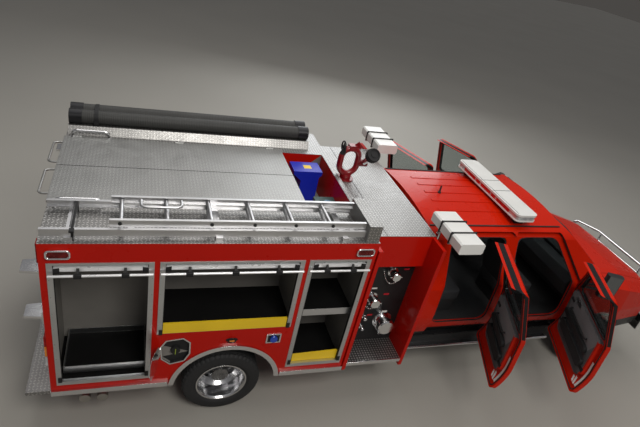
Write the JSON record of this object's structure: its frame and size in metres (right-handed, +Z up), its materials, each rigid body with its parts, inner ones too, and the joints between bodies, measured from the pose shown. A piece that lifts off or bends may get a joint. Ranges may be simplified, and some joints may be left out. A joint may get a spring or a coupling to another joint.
{
  "type": "fire engine",
  "caption": "Crew cab rescue pumper with roll-up compartments, side pump panels, roof ladder, suction hoses, a water monitor, light masts and opening doors.",
  "frame": {"origin": "on the ground under the middle of the overall length", "axes": "+X forward, +Y to the vehicle's left, +Z up"},
  "size_m": [8.022, 4.0592, 2.6208],
  "materials": {
    "red_paint": "gloss",
    "tread_plate": "bright",
    "satin_aluminium": "satin",
    "bright_trim": "polished",
    "chrome_trim": "polished",
    "polished_rim": "polished",
    "tyre_rubber": "matt",
    "chassis_black": "satin",
    "engine_grey": "matt",
    "exhaust_steel": "satin",
    "floor_mat": "matt",
    "black_mat": "matt",
    "window_glass": "clear",
    "lamp_lens": "clear",
    "seat_cloth": "woven",
    "grey_trim": "grained",
    "step_steel": "satin",
    "light_bar_white": "gloss",
    "panel_black": "satin",
    "tank_poly": "moulded",
    "hose_slate": "satin",
    "monitor_red": "gloss",
    "nozzle_black": "satin",
    "lamp_white": "gloss"
  },
  "bodies": {
    "root": {"frame_rails": "chassis_black", "engine_block": "engine_grey", "drive_line": "engine_grey", "exhaust": "exhaust_steel", "front_axle": "chassis_black", "rear_axle": "chassis_black", "cab_floor": "floor_mat", "cab_shell": "red_paint", "cab_glass": "window_glass", "fenders": "red_paint", "grille": "chrome_trim", "lamps": "lamp_lens", "front_bumper": "chrome_trim", "seats": "seat_cloth", "dashboard": "grey_trim", "cab_steps": "step_steel", "light_bar": "light_bar_white", "pump_house": "red_paint", "pump_panels": "panel_black", "tread_plates": "tread_plate", "body_shell": "red_paint", "shutter_frames": "satin_aluminium", "shutters": "satin_aluminium", "compartment_trays": "black_mat", "tank": "tank_poly", "body_trim": "bright_trim", "grab_rails": "bright_trim", "ladder": "satin_aluminium", "suction_hoses": "hose_slate", "monitor_base": "monitor_red"},
    "steer_left": {"knuckle_left": "chassis_black"},
    "steer_right": {"knuckle_right": "chassis_black"},
    "front_wheel_left": {"front_tyre_left": "tyre_rubber", "front_rim_left": "polished_rim"},
    "front_wheel_right": {"front_tyre_right": "tyre_rubber", "front_rim_right": "polished_rim"},
    "rear_wheels_left": {"rear_tyres_left": "tyre_rubber", "rear_rims_left": "polished_rim"},
    "rear_wheels_right": {"rear_tyres_right": "tyre_rubber", "rear_rims_right": "polished_rim"},
    "hood_lid": {"hood": "red_paint"},
    "cover_left": {"hosebed_cover_left": "tread_plate"},
    "cover_right": {"hosebed_cover_right": "tread_plate"},
    "monitor_turret": {"monitor_swivel": "monitor_red"},
    "monitor_nozzle": {"monitor_barrel": "nozzle_black"},
    "mast_left": {"light_mast_left": "lamp_white"},
    "mast_right": {"light_mast_right": "lamp_white"},
    "front_door_left": {"door_front_left": "red_paint", "trim_front_left": "grey_trim", "pane_front_left": "window_glass"},
    "front_door_right": {"door_front_right": "red_paint", "trim_front_right": "grey_trim", "pane_front_right": "window_glass"},
    "rear_door_left": {"door_rear_left": "red_paint", "trim_rear_left": "grey_trim", "pane_rear_left": "window_glass"},
    "rear_door_right": {"door_rear_right": "red_paint", "trim_rear_right": "grey_trim", "pane_rear_right": "window_glass"}
  },
  "joints": [
    {"name": "front_door_right_hinge", "type": "hinge", "parent": "root", "child": "front_door_right", "pos_m": [2.181, -1.022, 1.1], "axis": [0, 0, 1], "range_deg": [-65, 5]},
    {"name": "front_door_left_hinge", "type": "hinge", "parent": "root", "child": "front_door_left", "pos_m": [2.181, 1.022, 1.1], "axis": [0, 0, -1], "range_deg": [-65, 5]},
    {"name": "rear_door_right_hinge", "type": "hinge", "parent": "root", "child": "rear_door_right", "pos_m": [1.051, -1.022, 1.1], "axis": [0, 0, 1], "range_deg": [-68, 5]},
    {"name": "rear_door_left_hinge", "type": "hinge", "parent": "root", "child": "rear_door_left", "pos_m": [1.051, 1.022, 1.1], "axis": [0, 0, -1], "range_deg": [-68, 5]},
    {"name": "hood_hinge", "type": "hinge", "parent": "root", "child": "hood_lid", "pos_m": [2.617, 0, 1.473], "axis": [0, -1, 0], "range_deg": [0, 48]},
    {"name": "cover_right_hinge", "type": "hinge", "parent": "root", "child": "cover_right", "pos_m": [-2.639, -0.631, 2.2373], "axis": [1, 0, 0], "range_deg": [0, 95]},
    {"name": "cover_left_hinge", "type": "hinge", "parent": "root", "child": "cover_left", "pos_m": [-2.639, 0.631, 2.2373], "axis": [-1, 0, 0], "range_deg": [0, 95]},
    {"name": "monitor_turn", "type": "hinge", "parent": "root", "child": "monitor_turret", "pos_m": [-0.829, 0.17, 2.171], "axis": [0, 0, 1], "range_deg": [-180, 180]},
    {"name": "monitor_lift", "type": "hinge", "parent": "monitor_turret", "child": "monitor_nozzle", "pos_m": [-0.688, 0.17, 2.355], "axis": [-1, 0, 0], "range_deg": [-45, 40]},
    {"name": "mast_right_slide", "type": "slide", "parent": "root", "child": "mast_right", "axis": [0, 0, 1], "range_m": [0, 0.9]},
    {"name": "mast_left_slide", "type": "slide", "parent": "root", "child": "mast_left", "axis": [0, 0, 1], "range_m": [0, 0.9]},
    {"name": "steer_left_pin", "type": "hinge", "parent": "root", "child": "steer_left", "pos_m": [2.841, 0.815, 0.4], "axis": [0, 0, 1], "range_deg": [-32, 32]},
    {"name": "front_wheel_left_spin", "type": "hinge", "parent": "steer_left", "child": "front_wheel_left", "pos_m": [2.841, 0.93, 0.4], "axis": [0, 1, 0], "continuous": true},
    {"name": "rear_wheels_left_spin", "type": "hinge", "parent": "root", "child": "rear_wheels_left", "pos_m": [-2.239, 0.94, 0.4], "axis": [0, 1, 0], "continuous": true},
    {"name": "steer_right_pin", "type": "hinge", "parent": "root", "child": "steer_right", "pos_m": [2.841, -0.815, 0.4], "axis": [0, 0, 1], "range_deg": [-32, 32]},
    {"name": "front_wheel_right_spin", "type": "hinge", "parent": "steer_right", "child": "front_wheel_right", "pos_m": [2.841, -0.93, 0.4], "axis": [0, 1, 0], "continuous": true},
    {"name": "rear_wheels_right_spin", "type": "hinge", "parent": "root", "child": "rear_wheels_right", "pos_m": [-2.239, -0.94, 0.4], "axis": [0, 1, 0], "continuous": true}
  ],
  "couplings": [
    {"joint": "steer_right_pin", "follows": "steer_left_pin", "ratio": 1}
  ]
}
